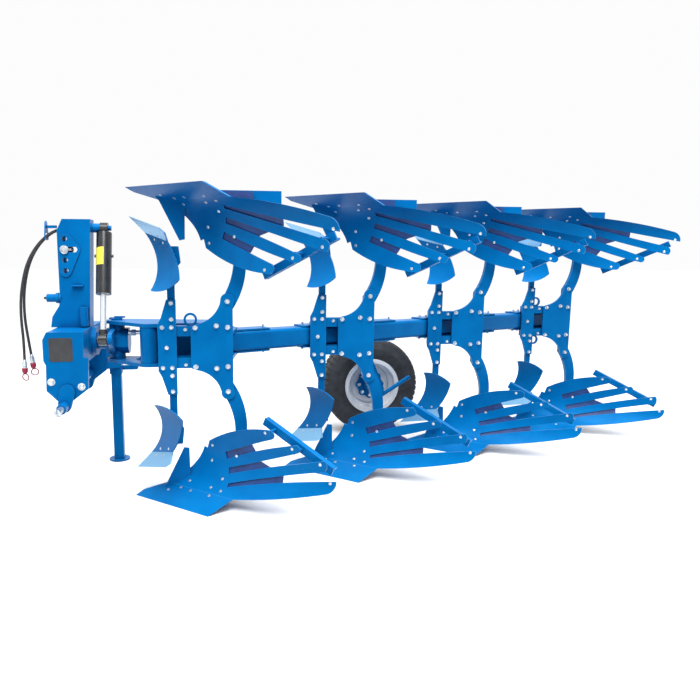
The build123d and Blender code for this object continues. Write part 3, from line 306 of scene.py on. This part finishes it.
def make_piece(name, grid, material, body, rows_close=False, smooth=False):
    """Mesh of like sheets from grid[copy, i, j], where each four neighbours in i and j make a face.

    Columns always close on themselves. Rows close on themselves too, or the first and the last
    row are capped. Faces are turned outwards.
    """
    index = np.arange(grid[..., 0].size).reshape(grid.shape[:3])
    wrap = np.concatenate([index, index[:, :, :1]], axis=2)
    if rows_close:
        wrap = np.concatenate([wrap, wrap[:, :1]], axis=1)
    corners = [wrap[:, :-1, :-1], wrap[:, 1:, :-1], wrap[:, 1:, 1:], wrap[:, :-1, 1:]]
    faces = np.stack(corners, axis=-1).reshape(-1, 4).tolist()
    if not rows_close:
        faces += index[:, 0].tolist() + index[:, -1].tolist()
    mesh = bpy.data.meshes.new(name)
    mesh.from_pydata(grid.reshape(-1, 3).tolist(), [], faces)
    form = bmesh.new()
    form.from_mesh(mesh)
    bmesh.ops.recalc_face_normals(form, faces=form.faces)
    form.to_mesh(mesh)
    form.free()
    mesh.polygons.foreach_set("use_smooth", [smooth] * len(mesh.polygons))
    mesh.materials.append(material)
    piece = bpy.data.objects.new(name, mesh)
    bpy.context.scene.collection.objects.link(piece)
    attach(piece, body)
    return piece


def turned_frames(normals):
    """Unit normals with two unit vectors square to each."""
    normals = np.array(normals, float)
    normals = normals / np.linalg.norm(normals, axis=1, keepdims=True)
    helper = np.where(np.abs(normals[:, 2:]) > 0.9, [[1.0, 0.0, 0.0]], [[0.0, 0.0, 1.0]])
    first = np.cross(helper, normals)
    first = first / np.linalg.norm(first, axis=1, keepdims=True)
    return normals, first, np.cross(normals, first)


def studs(name, centres, normals, rows, material, body, smooth=False):
    """Like studs, one a place, each turned about its normal from rows of (radius, height, six).

    A point is c + r (u cos t + v sin t) + h n. Where six is 1 the radius is that of a hexagon's
    corners, and r is cut by cos(pi / 6) / cos((t mod pi / 3) - pi / 6).
    """
    n, u, v = turned_frames(normals)
    radius, height, six = np.array(rows, float).T
    columns = 24
    t = 2 * pi * np.arange(columns) / columns
    flat = cos(pi / 6) / np.cos(t % (pi / 3) - pi / 6)
    r = radius[:, None] * (1 + six[:, None] * (flat - 1))
    spread = u[:, None, None] * (r * np.cos(t))[None, ..., None]
    spread = spread + v[:, None, None] * (r * np.sin(t))[None, ..., None]
    grid = np.array(centres)[:, None, None] + spread + n[:, None, None] * height[None, :, None, None]
    return make_piece(name, grid, material, body, smooth=smooth)


def hexagon_head(width, height):
    """Rows of a hexagon head, its corners at width / sqrt(3), on a washer 1.4 times as wide."""
    corner = width / sqrt(3)
    return [(0.70 * width, 0.0, 0), (0.70 * width, 0.1 * width, 0), (corner, 0.1 * width, 1),
            (corner, 0.82 * height, 1), (0.87 * corner, height, 1)]


# Bolts of body and skimmer plates, on both halves: forged, zinc-plated hexagon heads on washers,
# screwed through the plates. They are 20 mm across flats on the bodies, 17 mm on the skimmers and
# 14 mm on the rails. Spots are (x from the body's station, z from the turnover axis), in metres.
axis_z = -0.480
spacing = np.array([sqrt(1.0 - 0.4 ** 2), 0.4, 0.0])
stations = np.array([0.925, -0.354, axis_z]) + np.arange(4)[:, None] * spacing
plate_bolts = np.array([(0.0, 0.112), (-0.063, 0.121), (-0.180, 0.111), (0.0, 0.257)])
skimmer_bolts = np.array([(-0.310, 0.249), (-0.310, 0.159), (-0.361, 0.114), (-0.310, 0.114)])
rail_bolts = np.array([(-0.235, 0.100)])


def on_plates(spots, depth=0.0):
    """Places at each body for spots (x, z from the axis), and their twins on the other half."""
    spread = np.stack([spots[:, 0], np.full(len(spots), depth), spots[:, 1]], axis=1)
    both = np.concatenate([spread, spread * [1, 1, -1]])
    return (stations[:, None] + both[None]).reshape(-1, 3)


rail_face = 0.0149
middle_bolts = stations + [-0.338, 0.0, 0.0]
for name, places, head in [
    ("plate_bolts", on_plates(plate_bolts), hexagon_head(0.020, 0.017)),
    ("skimmer_bolts", np.concatenate([on_plates(skimmer_bolts), middle_bolts]), hexagon_head(0.017, 0.015)),
    ("rail_bolts", on_plates(rail_bolts, rail_face), hexagon_head(0.014, 0.012)),
]:
    studs(name, places, [(0, -1, 0)] * len(places), head, zinc_steel, "plough_frame")

# Plough bolts: flush countersunk steel heads of 19 mm that hold shares, boards and slats from the
# front, and of 16 mm on the skimmers. Spots are (along the share's edge, height), in metres.
board_bolts = np.array([
    (0.180, 0.045), (0.248, 0.062), (0.324, 0.060), (0.270, 0.092), (0.436, 0.088),
    (0.464, 0.060), (0.513, 0.084), (0.484, 0.134), (0.372, 0.212), (0.370, 0.299),
    (0.549, 0.266), (0.760, 0.438), (0.931, 0.376), (1.103, 0.322), (1.166, 0.236),
])
blade_bolts = np.array([(0.165, 0.094), (0.254, 0.094), (0.140, 0.061), (0.221, 0.061)])


def on_blades(spots, tip, edge, back, up, slope, arcs):
    """Places and normals on all blades' faces, with their twins on the other half.

    The section is b = h / tan(slope), then on each arc (start, c, d, r) above its start
    b = c + sqrt(r ** 2 - (h - d) ** 2), where the normal points to the arc's centre (c, d).
    """
    a, h = spots.T
    b = h / tan(slope)
    tilt = np.array([-sin(slope), cos(slope)]) + np.zeros((len(spots), 2))
    for start, c, d, r in arcs:
        depth = c + np.sqrt(r ** 2 - (h - d) ** 2)
        b = np.where(h > start, depth, b)
        tilt = np.where((h > start)[:, None], np.stack([c - depth, d - h], axis=1) / r, tilt)
    place = tip + a[:, None] * edge + b[:, None] * back + h[:, None] * up
    normal = tilt[:, :1] * back + tilt[:, 1:] * up
    places = (place[None] + (stations - [0.0, 0.0, axis_z])[:, None]).reshape(-1, 3)
    normals = np.tile(normal, (len(stations), 1))
    twins = places * [1, 1, -1] + [0.0, 0.0, 2 * axis_z]
    return np.concatenate([places, twins]), np.concatenate([normals, normals * [1, 1, -1]])


def edge_frame(angle, rise=0.0):
    """Directions along an edge at an angle to travel that rises to its heel, behind it and up its face."""
    back = np.array([sin(angle), cos(angle), 0.0])
    edge = np.array([cos(angle) * cos(rise), -sin(angle) * cos(rise), sin(rise)])
    return edge, back, np.cross(edge, back)


def dome_head(radius, height):
    """Rows of a low domed head: height falls off as 1 - (r / radius) ** 2."""
    return [(radius * s, height * (1.15 - s ** 2), 0) for s in (1.0, 0.8, 0.5, 0.15)]


share_tip = np.array([-0.545, 0.070, ground_z])
share_angle = radians(41)
share_slope = radians(27)
board_arcs = [(0.067, 0.0248, 0.2764, 0.235), (0.2764, -0.6402, 0.2764, 0.900)]
places, normals = on_blades(board_bolts, share_tip, *edge_frame(share_angle), share_slope, board_arcs)
studs("board_bolts", places, normals, dome_head(0.0095, 0.0018), zinc_steel, "plough_frame", smooth=True)
skimmer_tip = np.array([-0.537, 0.125, ground_z + 0.152])
skimmer_angle = radians(53.8)
skimmer_rise = radians(12.4)
skimmer_slope = atan2(0.076, 0.070)
skimmer_arcs = [(0.076, -0.2132, 0.162, 0.296)]
places, normals = on_blades(blade_bolts, skimmer_tip, *edge_frame(skimmer_angle, skimmer_rise),
                            skimmer_slope, skimmer_arcs)
studs("skimmer_blade_bolts", places, normals, dome_head(0.008, 0.0018), zinc_steel, "plough_frame",
      smooth=True)

# Clamp straps: flat steel straps 10 mm thick in blue enamel, above and below the beam, behind the
# first three bodies and before the last three. They hold the consoles on the beam, each with two
# plated bolts of 14 mm across flats.
half_beam = 0.0625
strap_thick = 0.010
beam_side = np.array([-0.4, spacing[0], 0.0])
beam_behind_plates = 0.258
beam_line = stations + [0.0, beam_behind_plates, 0.0]


def flat_blocks(name, centres, u, v, normals, half, depths, insets, material, body):
    """Flat blocks with rounded corners, one a centre, that rise along their normals.

    The outline is u a |cos t| ** (2 / p) + v b |sin t| ** (2 / p) with the signs of cos and sin
    and p = 14, drawn at each depth and made smaller by its inset.
    """
    columns, power = 48, 14
    t = 2 * pi * (np.arange(columns) + 0.5) / columns
    along = np.sign(np.cos(t)) * np.abs(np.cos(t)) ** (2 / power)
    aside = np.sign(np.sin(t)) * np.abs(np.sin(t)) ** (2 / power)
    depths, insets = np.array(depths)[:, None], np.array(insets)[:, None]
    outline = (along * (half[0] - insets))[..., None] * np.array(u, float)
    outline = outline + (aside * (half[1] - insets))[..., None] * np.array(v, float)
    rise = depths[None, ..., None] * np.array(normals, float)[:, None, None]
    grid = np.array(centres, float)[:, None, None] + outline[None] + rise
    return make_piece(name, grid, material, body)


for strap_name, bolt_name, middles, half_length, bolt_gap in [
    ("rear_straps", "rear_strap_bolts", beam_line[:3] + 0.145 * spacing, 0.125, 0.102),
    ("front_straps", "front_strap_bolts", beam_line[1:] - 0.437 * spacing, 0.065, 0.030),
]:
    centres = np.concatenate([middles + [0, 0, half_beam], middles - [0, 0, half_beam]])
    rise = np.repeat([[0, 0, 1], [0, 0, -1]], len(middles), axis=0)
    flat_blocks(strap_name, centres, spacing, beam_side, rise, (half_length, 0.055),
                (0.0, strap_thick - 0.001, strap_thick), (0.0, 0.0, 0.001), blue_paint, "plough_frame")
    ends = centres + rise * strap_thick
    places = np.concatenate([ends - bolt_gap * spacing, ends + bolt_gap * spacing])
    studs(bolt_name, places, np.concatenate([rise, rise]), hexagon_head(0.014, 0.016), zinc_steel,
          "plough_frame")

# Side plates: two plated domed bolts low on each, 42 mm across their flanges, and on the left
# plate a blank sheet in black enamel, 3 mm thick and fixed flat.
side_face = 0.305
bolt_rows = [(0.021, 0.0, 0), (0.021, 0.003, 0), (0.015, 0.003, 0), (0.015, 0.009, 0),
             (0.011, 0.012, 0), (0.004, 0.013, 0)]
spots = [(-0.051, -0.190), (0.110, -0.220)]
places = [(x, side * side_face, axis_z + z) for side in (-1, 1) for x, z in spots]
normals = [(0, side, 0) for side in (-1, -1, 1, 1)]
studs("side_plate_bolts", places, normals, bolt_rows, zinc_steel, "headstock")
flat_blocks("blank_plate", [(0.008, -side_face, axis_z - 0.010)], (1, 0, 0), (0, 0, 1), [(0, -1, 0)],
            (0.063, 0.066), (0.0, 0.0022, 0.003), (0.0, 0.0, 0.001), black_paint, "headstock")

# Mast trim: a small ledge welded on the left wall, the black tip of the front stub, zinc-plated
# sleeves on the lower-link pins, and sprung wire rings that lock those pins and the top-link pin.
flat_blocks("mast_ledge", [(0.064, -0.0545, -0.148)], (1, 0, 0), (0, 0, 1), [(0, -1, 0)], (0.032, 0.005),
            (0.0, 0.024, 0.028), (0.0, 0.0005, 0.003), blue_paint, "headstock")
studs("stub_tip", [(-0.115, -0.045, -0.220)], [(-1, 0, 0)],
      [(0.016, 0.0, 0), (0.009, 0.006, 0), (0.007, 0.016, 0), (0.003, 0.019, 0)], black_paint, "headstock")
link_pin = np.array([0.018, 0.450, -0.805])
sleeve_rows = [(0.0186, 0.0, 0), (0.0186, 0.074, 0), (0.016, 0.077, 0)]
sleeve_starts = [link_pin * [1, side, 1] - [0, side * 0.0375, 0] for side in (-1, 1)]
studs("link_pin_sleeves", sleeve_starts, [(0, side, 0) for side in (-1, 1)], sleeve_rows, zinc_steel,
      "headstock")


def wire_rings(name, centres, normals, radius, wire, material):
    """Rings of wire: c + (R + w cos q) (u cos p + v sin p) + n w sin q."""
    n, u, v = turned_frames(normals)
    p = 2 * pi * np.arange(36) / 36
    q = 2 * pi * np.arange(8) / 8
    out = radius + wire * np.cos(q)
    spread = u[:, None, None] * (np.cos(p)[:, None] * out)[None, ..., None]
    spread = spread + v[:, None, None] * (np.sin(p)[:, None] * out)[None, ..., None]
    lift = n[:, None, None] * (wire * np.sin(q))[None, None, :, None]
    grid = np.array(centres)[:, None, None] + spread + lift
    return make_piece(name, grid, material, "headstock", rows_close=True, smooth=True)


wire_rings("top_pin_ring", [(0.0, -0.079, 0.057)], [(0.2, 1.0, 0.1)], 0.021, 0.0022, zinc_steel)
ring_centres = [link_pin * [1, side, 1] + [0, side * 0.028, 0] for side in (-1, 1)]
wire_rings("link_pin_rings", ring_centres, [(1.0, 0.1 * side, 0.3) for side in (-1, 1)], 0.024, 0.0025,
           zinc_steel)

# Label: a blank patch of yellow plastic film, 104 mm tall, stuck round the barrel's left front. It
# stands 0.7 mm out from the barrel, thicker than real film, so that it shows. Its points are the
# upper eye + distance along the barrel + radius at an angle.
label_yellow, tree, shader, coords = new_material("label_yellow", 0.45)
patches = add_node(tree, "ShaderNodeTexNoise", (-900, 200), [("Vector", coords)],
                   Scale=1 / 0.008, Detail=3.0)
tone = add_node(tree, "ShaderNodeValToRGB", (-650, 200), [("Fac", patches.outputs["Fac"])],
                stops=("#EBDD36", "#F6EA50"))
tree.links.new(tone.outputs["Color"], shader.inputs["Base Color"])
upper_eye = np.array([0.217, 0.0, 0.187])
crank_pin = np.array([0.217, -0.190, axis_z + 0.030])
barrel_run = crank_pin - upper_eye
barrel_run = barrel_run / np.linalg.norm(barrel_run)
barrel_side = np.cross(barrel_run, [1.0, 0.0, 0.0])
front_angle, left_angle = 166, 84
angle = np.radians(np.linspace(front_angle, left_angle, 13))[:, None, None]
label_top, label_foot = 0.126, 0.230
sunk, proud = 0.0436, 0.0447
corners = np.array([(label_top, sunk), (label_top, proud), (label_foot, proud), (label_foot, sunk)])
outward = np.cos(angle) * [1.0, 0.0, 0.0] + np.sin(angle) * barrel_side
grid = upper_eye + corners[None, :, :1] * barrel_run + corners[None, :, 1:] * outward
make_piece("blank_label", grid[None], label_yellow, "headstock")

# Coupler caps: zinc-plated steel collars crimped on the hoses, and dust caps of moulded dark red
# rubber, dull with a soft sheen, pushed over the plugs, each with a moulded ring under it.
coupler_red, tree, shader, coords = new_material("coupler_red", 0.45)
patches = add_node(tree, "ShaderNodeTexNoise", (-900, 200), [("Vector", coords)],
                   Scale=1 / 0.003, Detail=3.0)
tone = add_node(tree, "ShaderNodeValToRGB", (-650, 200), [("Fac", patches.outputs["Fac"])],
                stops=("#7E1230", "#A31B3C"))
tree.links.new(tone.outputs["Color"], shader.inputs["Base Color"])
ends = np.array([near_points[-1], far_points[-1]]) / 1000
runs = ends - np.array([near_points[-2], far_points[-2]]) / 1000
runs = runs / np.linalg.norm(runs, axis=1, keepdims=True)
collar_overlap = 0.016
cap_start = 0.034
ring_drop = 0.090
studs("hose_collars", ends - runs * collar_overlap, runs,
      [(0.0100, 0.0, 0), (0.0112, 0.002, 0), (0.0112, 0.018, 0), (0.0146, 0.019, 0), (0.0146, 0.030, 0)],
      zinc_steel, "headstock")
studs("coupler_caps", ends + runs * cap_start, runs,
      [(0.0145, 0.0, 0), (0.0165, 0.003, 0), (0.0165, 0.020, 0), (0.0135, 0.030, 0), (0.0095, 0.031, 0),
       (0.0095, 0.036, 0), (0.005, 0.038, 0)], coupler_red, "headstock")
ring_centres = ends + runs * ring_drop + [0.003, 0.0, 0.0]
wire_rings("cap_rings", ring_centres, [(0.35, 1.0, 0.1), (-0.25, 1.0, 0.1)], 0.020, 0.0032, coupler_red)

# Tyre: an implement tyre of moulded black rubber, held on the rim by its beads. It is matt, with
# grime in patches of 55 mm and pores drawn 1.1 mm across, coarser than real. A carcass lies under
# 52 shoulder lugs a side and two rows of blocks, whose tops lie on the CAD tyre's outline.
tyre_rubber, tree, shader, coords = new_material("tyre_rubber", 0.70)
grime = add_node(tree, "ShaderNodeTexNoise", (-900, 200), [("Vector", coords)],
                 Scale=1 / 0.055, Detail=6.0)
tone = add_node(tree, "ShaderNodeValToRGB", (-650, 200), [("Fac", grime.outputs["Fac"])],
                stops=("#1E2125", "#34383E"))
tree.links.new(tone.outputs["Color"], shader.inputs["Base Color"])
fine = add_node(tree, "ShaderNodeTexNoise", (-700, -400), [("Vector", coords)],
                Scale=1 / 0.0011, Detail=2.0)
pores = add_node(tree, "ShaderNodeBump", (-300, -400), [("Height", fine.outputs["Fac"])],
                 Strength=0.2, Distance=0.0004)
tree.links.new(pores.outputs["Normal"], shader.inputs["Normal"])
wheel = np.array([2.069, 0.965, ground_z + 0.376])


def round_axle(angle, radius, across):
    """Points (r cos t, y, r sin t) about the wheel's axle."""
    return wheel + np.stack([radius * np.cos(angle), across + 0 * angle, radius * np.sin(angle)], axis=-1)


side_wall = np.array([
    (0.1945, 0.108), (0.214, 0.1185), (0.222, 0.1165), (0.230, 0.121), (0.250, 0.1255), (0.284, 0.129),
    (0.304, 0.1275), (0.308, 0.1245), (0.316, 0.1235), (0.330, 0.118), (0.346, 0.1095), (0.358, 0.100),
    (0.367, 0.078), (0.369, 0.060),
])
profile = np.concatenate([side_wall, side_wall[::-1] * [1, -1]])
angle = 2 * pi * np.arange(96)[:, None] / 96
grid = round_axle(angle, profile[:, 0], profile[:, 1])
carcass = make_piece("tyre_carcass", grid[None], tyre_rubber, "wheel", rows_close=True, smooth=True)
shoulder = np.array([
    ((0.368, 0.026), (0.376, 0.028)), ((0.368, 0.062), (0.376, 0.062)),
    ((0.366, 0.078), (0.3745, 0.080)), ((0.357, 0.100), (0.363, 0.1025)),
    ((0.345, 0.109), (0.349, 0.1115)), ((0.335, 0.114), (0.3365, 0.1155)),
])
middle = np.array([((0.367, 0.003), (0.376, 0.004)), ((0.367, 0.022), (0.376, 0.021))])
lugs = 52
for name, strip, early, late, skew in [
    ("shoulder_lugs", shoulder, 0.06, 0.84, 0.25),
    ("middle_blocks", middle, 0.30, 0.98, 0.12),
]:
    number = np.tile(np.arange(lugs), 2)[:, None, None]
    side = np.repeat([1, -1], lugs)[:, None, None]
    lean = skew * np.arange(len(strip))[None, :, None] / len(strip)
    share = np.array([early, early, late, late])[None, None]
    corner = strip[:, [0, 1, 1, 0]]
    angle = 2 * pi * (number + share + side * 0.25 + lean) / lugs
    grid = round_axle(angle, corner[None, ..., 0], side * corner[None, ..., 1])
    tread = make_piece(name, grid, tyre_rubber, "wheel")
    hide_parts("tyre")
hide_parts("tyre")

# Rim: a pressed and rolled steel rim in near-white stoved enamel, a smooth semi-gloss with faint
# shading 80 mm across. Its dish is bolted to the hub.
rim_paint, tree, shader, coords = new_material("rim_paint", 0.35, coat=0.2)
patches = add_node(tree, "ShaderNodeTexNoise", (-900, 200), [("Vector", coords)],
                   Scale=1 / 0.080, Detail=3.0)
tone = add_node(tree, "ShaderNodeValToRGB", (-650, 200), [("Fac", patches.outputs["Fac"])],
                stops=("#E6E9EC", "#FAFBFC"))
tree.links.new(tone.outputs["Color"], shader.inputs["Base Color"])
cover(rim_paint, "rim")

# Hub: a forged flange in blue enamel before the rim's dish, of radius 106 + 8 cos(8 t) mm, with
# eight plated wheel bolts, and a pressed steel grease cap pushed into its middle.
lobe_angle = 2 * pi * np.arange(128) / 128
flange_back, flange_front, hub_end = -0.042, -0.053, -0.085
levels = np.array([(0.0, 0.0), (0.008, 0.0), (0.011, 0.004)])
lobes = 0.106 + 0.008 * np.cos(8 * lobe_angle) - levels[:, 1:]
grid = round_axle(lobe_angle[None] + 0 * lobes, lobes, flange_back - levels[:, :1])
make_piece("hub_flange", grid[None], blue_paint, "wheel")
bolt_circle = 0.086
bolt_angle = 2 * pi * np.arange(8) / 8
studs("hub_bolts", round_axle(bolt_angle, bolt_circle, flange_front), [(0, -1, 0)] * 8,
      hexagon_head(0.019, 0.014), zinc_steel, "wheel")
studs("hub_cap", [wheel + [0.0, hub_end, 0.0]], [(0, -1, 0)],
      [(0.040, 0.0, 0), (0.038, 0.006, 0), (0.030, 0.010, 0), (0.010, 0.012, 0)], blue_paint, "wheel")
